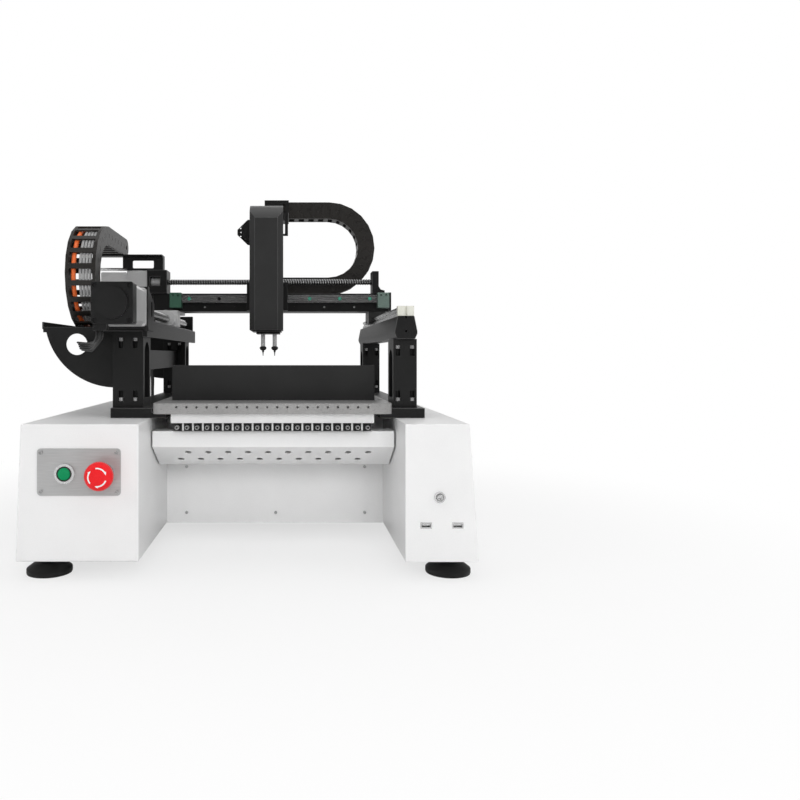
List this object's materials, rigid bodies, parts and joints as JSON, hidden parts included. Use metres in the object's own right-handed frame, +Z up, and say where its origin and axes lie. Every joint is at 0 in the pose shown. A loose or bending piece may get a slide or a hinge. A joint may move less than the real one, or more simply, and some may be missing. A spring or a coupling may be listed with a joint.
{
  "type": "desktop pick and place machine",
  "caption": "Desktop pick and place machine: nozzle head on a screw-driven gantry with cable chains, over a feeder table on a sheet-metal base with controls.",
  "frame": {"origin": "on the ground, under the middle of the whole machine", "axes": "+X to the right as the operator sees it, +Y from the front to the back, +Z up"},
  "size_m": [0.647, 0.7275, 0.6336],
  "materials": {
    "white_paint": "satin powder coat",
    "black_anodised": "satin black anodised",
    "black_sheet": "satin black",
    "grey_anodised": "satin grey anodised",
    "bare_aluminium": "satin",
    "control_grey": "satin grey",
    "bright_steel": "ground",
    "carriage_steel": "dark ground steel",
    "motor_case": "satin black with bare laminations",
    "motor_silver": "cast, satin",
    "black_plastic": "moulded",
    "foot_rubber": "matte",
    "belt_rubber": "toothed",
    "cover_paint": "satin dark grey",
    "stop_green": "moulded",
    "stop_cream": "moulded",
    "red_plastic": "moulded",
    "green_plastic": "moulded",
    "power_metal": "satin",
    "cable_sheath": "smooth orange and grey",
    "lead_sheath": "smooth black"
  },
  "bodies": {
    "base": {"left_tower": "white_paint", "right_tower": "white_paint", "centre_housing": "white_paint", "access_cover": "white_paint", "fasteners": "bright_steel", "levelling_feet": "foot_rubber", "control_plate": "control_grey", "button_bezels": "bright_steel", "usb_ports": "bright_steel", "rear_inlet": "black_plastic", "feeder_guard": "white_paint", "feeder_bar": "bare_aluminium", "feeder_blocks": "black_anodised", "table_plate": "grey_anodised", "feeder_wall": "black_anodised", "base_rails": "black_anodised", "posts": "black_anodised", "left_bridge": "black_anodised", "right_bridge": "black_anodised", "y_rails": "bright_steel", "rail_stop": "stop_cream", "y_motor": "motor_case", "y_motor_lead": "lead_sheath", "y_screw_mounts": "black_anodised", "chain_tray": "black_sheet", "y_chain_lower": "black_plastic"},
    "start_button": {"start_cap": "green_plastic"},
    "estop_plunger": {"estop_stem": "black_plastic"},
    "estop_mushroom": {"estop_head": "red_plastic"},
    "power_button": {"power_cap": "power_metal"},
    "board_clamp_bar": {"board_clamp": "bare_aluminium"},
    "y_drive_screw": {"y_screw": "bright_steel"},
    "gantry": {"y_carriages": "carriage_steel", "y_nut": "bare_aluminium", "x_beam": "black_anodised", "x_rail": "bright_steel", "x_end_stops": "stop_green", "x_motor": "motor_silver", "x_bearings": "black_anodised", "chain_supports": "black_sheet", "x_chain_lower": "black_plastic", "y_chain_upper": "black_plastic"},
    "y_bend": {"y_chain_bend": "black_plastic", "y_chain_cables": "cable_sheath"},
    "x_drive_screw": {"x_screw": "bright_steel"},
    "x_bend": {"x_chain_bend": "black_plastic"},
    "head": {"x_carriage": "carriage_steel", "head_plate": "black_anodised", "chain_arm": "black_sheet", "head_cover": "cover_paint", "nozzle_guide": "black_anodised", "z_motor": "motor_silver", "z_belt": "belt_rubber", "x_chain_upper": "black_plastic"},
    "z_drive_pulley": {"z_pulley": "bare_aluminium"},
    "z_return_pulley": {"z_idler": "bare_aluminium"},
    "left_slide": {"nozzle_slide_left": "bare_aluminium"},
    "right_slide": {"nozzle_slide_right": "bare_aluminium"},
    "left_spindle": {"spindle_left": "bright_steel"},
    "right_spindle": {"spindle_right": "bright_steel"}
  },
  "joints": [
    {"name": "y_axis", "type": "slide", "parent": "base", "child": "gantry", "axis": [0, 1, 0], "range_m": [-0.24, 0.13]},
    {"name": "y_screw_spin", "type": "hinge", "parent": "base", "child": "y_drive_screw", "pos_m": [-0.181, 0.0725, 0.384], "axis": [0, 1, 0], "range_deg": [-17300, 9380]},
    {"name": "y_chain_roll", "type": "slide", "parent": "base", "child": "y_bend", "axis": [0, 1, 0], "range_m": [-0.1205, 0.0655], "deforming": ["y_chain_lower", "y_chain_upper", "y_chain_cables"]},
    {"name": "x_axis", "type": "slide", "parent": "gantry", "child": "head", "axis": [1, 0, 0], "range_m": [-0.133, 0.163]},
    {"name": "x_screw_spin", "type": "hinge", "parent": "gantry", "child": "x_drive_screw", "pos_m": [0.02, 0.1455, 0.4615], "axis": [1, 0, 0], "range_deg": [-9590, 11750]},
    {"name": "x_chain_roll", "type": "slide", "parent": "gantry", "child": "x_bend", "axis": [1, 0, 0], "range_m": [-0.067, 0.082], "deforming": ["x_chain_lower", "x_chain_upper"]},
    {"name": "nozzle_left_z", "type": "slide", "parent": "head", "child": "left_slide", "axis": [0, 0, 1], "range_m": [-0.013, 0.013]},
    {"name": "nozzle_right_z", "type": "slide", "parent": "head", "child": "right_slide", "axis": [0, 0, 1], "range_m": [-0.0131, 0.0131]},
    {"name": "z_pulley_spin", "type": "hinge", "parent": "head", "child": "z_drive_pulley", "pos_m": [0.0204, 0.0605, 0.545], "axis": [0, 1, 0], "range_deg": [-68, 68]},
    {"name": "z_idler_spin", "type": "hinge", "parent": "head", "child": "z_return_pulley", "pos_m": [0.0204, 0.0605, 0.38], "axis": [0, 1, 0], "range_deg": [-68, 68]},
    {"name": "spindle_left_spin", "type": "hinge", "parent": "left_slide", "child": "left_spindle", "pos_m": [0.0094, 0.0435, 0.4], "axis": [0, 0, 1], "continuous": true},
    {"name": "spindle_right_spin", "type": "hinge", "parent": "right_slide", "child": "right_spindle", "pos_m": [0.0314, 0.0435, 0.4], "axis": [0, 0, 1], "continuous": true},
    {"name": "estop_push", "type": "slide", "parent": "base", "child": "estop_plunger", "axis": [0, 1, 0], "range_m": [0, 0.005]},
    {"name": "estop_twist", "type": "hinge", "parent": "estop_plunger", "child": "estop_mushroom", "pos_m": [-0.198, -0.3475, 0.1498], "axis": [0, 1, 0], "range_deg": [0, 45], "stiffness_Nm_per_rad": 0.02},
    {"name": "start_push", "type": "slide", "parent": "base", "child": "start_button", "axis": [0, 1, 0], "range_m": [0, 0.003], "stiffness_N_per_m": 400, "springref_m": -0.004},
    {"name": "power_push", "type": "slide", "parent": "base", "child": "power_button", "axis": [0, 1, 0], "range_m": [0, 0.002], "stiffness_N_per_m": 400, "springref_m": -0.004},
    {"name": "board_clamp_slide", "type": "slide", "parent": "base", "child": "board_clamp_bar", "axis": [0, 1, 0], "range_m": [-0.18, 0.06]}
  ],
  "couplings": [
    {"joint": "y_screw_spin", "follows": "y_axis", "rad_per_m": 1256.6},
    {"joint": "y_chain_roll", "follows": "y_axis", "ratio": 0.5},
    {"joint": "x_screw_spin", "follows": "x_axis", "rad_per_m": 1256.6},
    {"joint": "x_chain_roll", "follows": "x_axis", "ratio": 0.5},
    {"joint": "nozzle_right_z", "follows": "nozzle_left_z", "ratio": -1},
    {"joint": "z_pulley_spin", "follows": "nozzle_left_z", "rad_per_m": 90.909},
    {"joint": "z_idler_spin", "follows": "nozzle_left_z", "rad_per_m": 90.909}
  ]
}
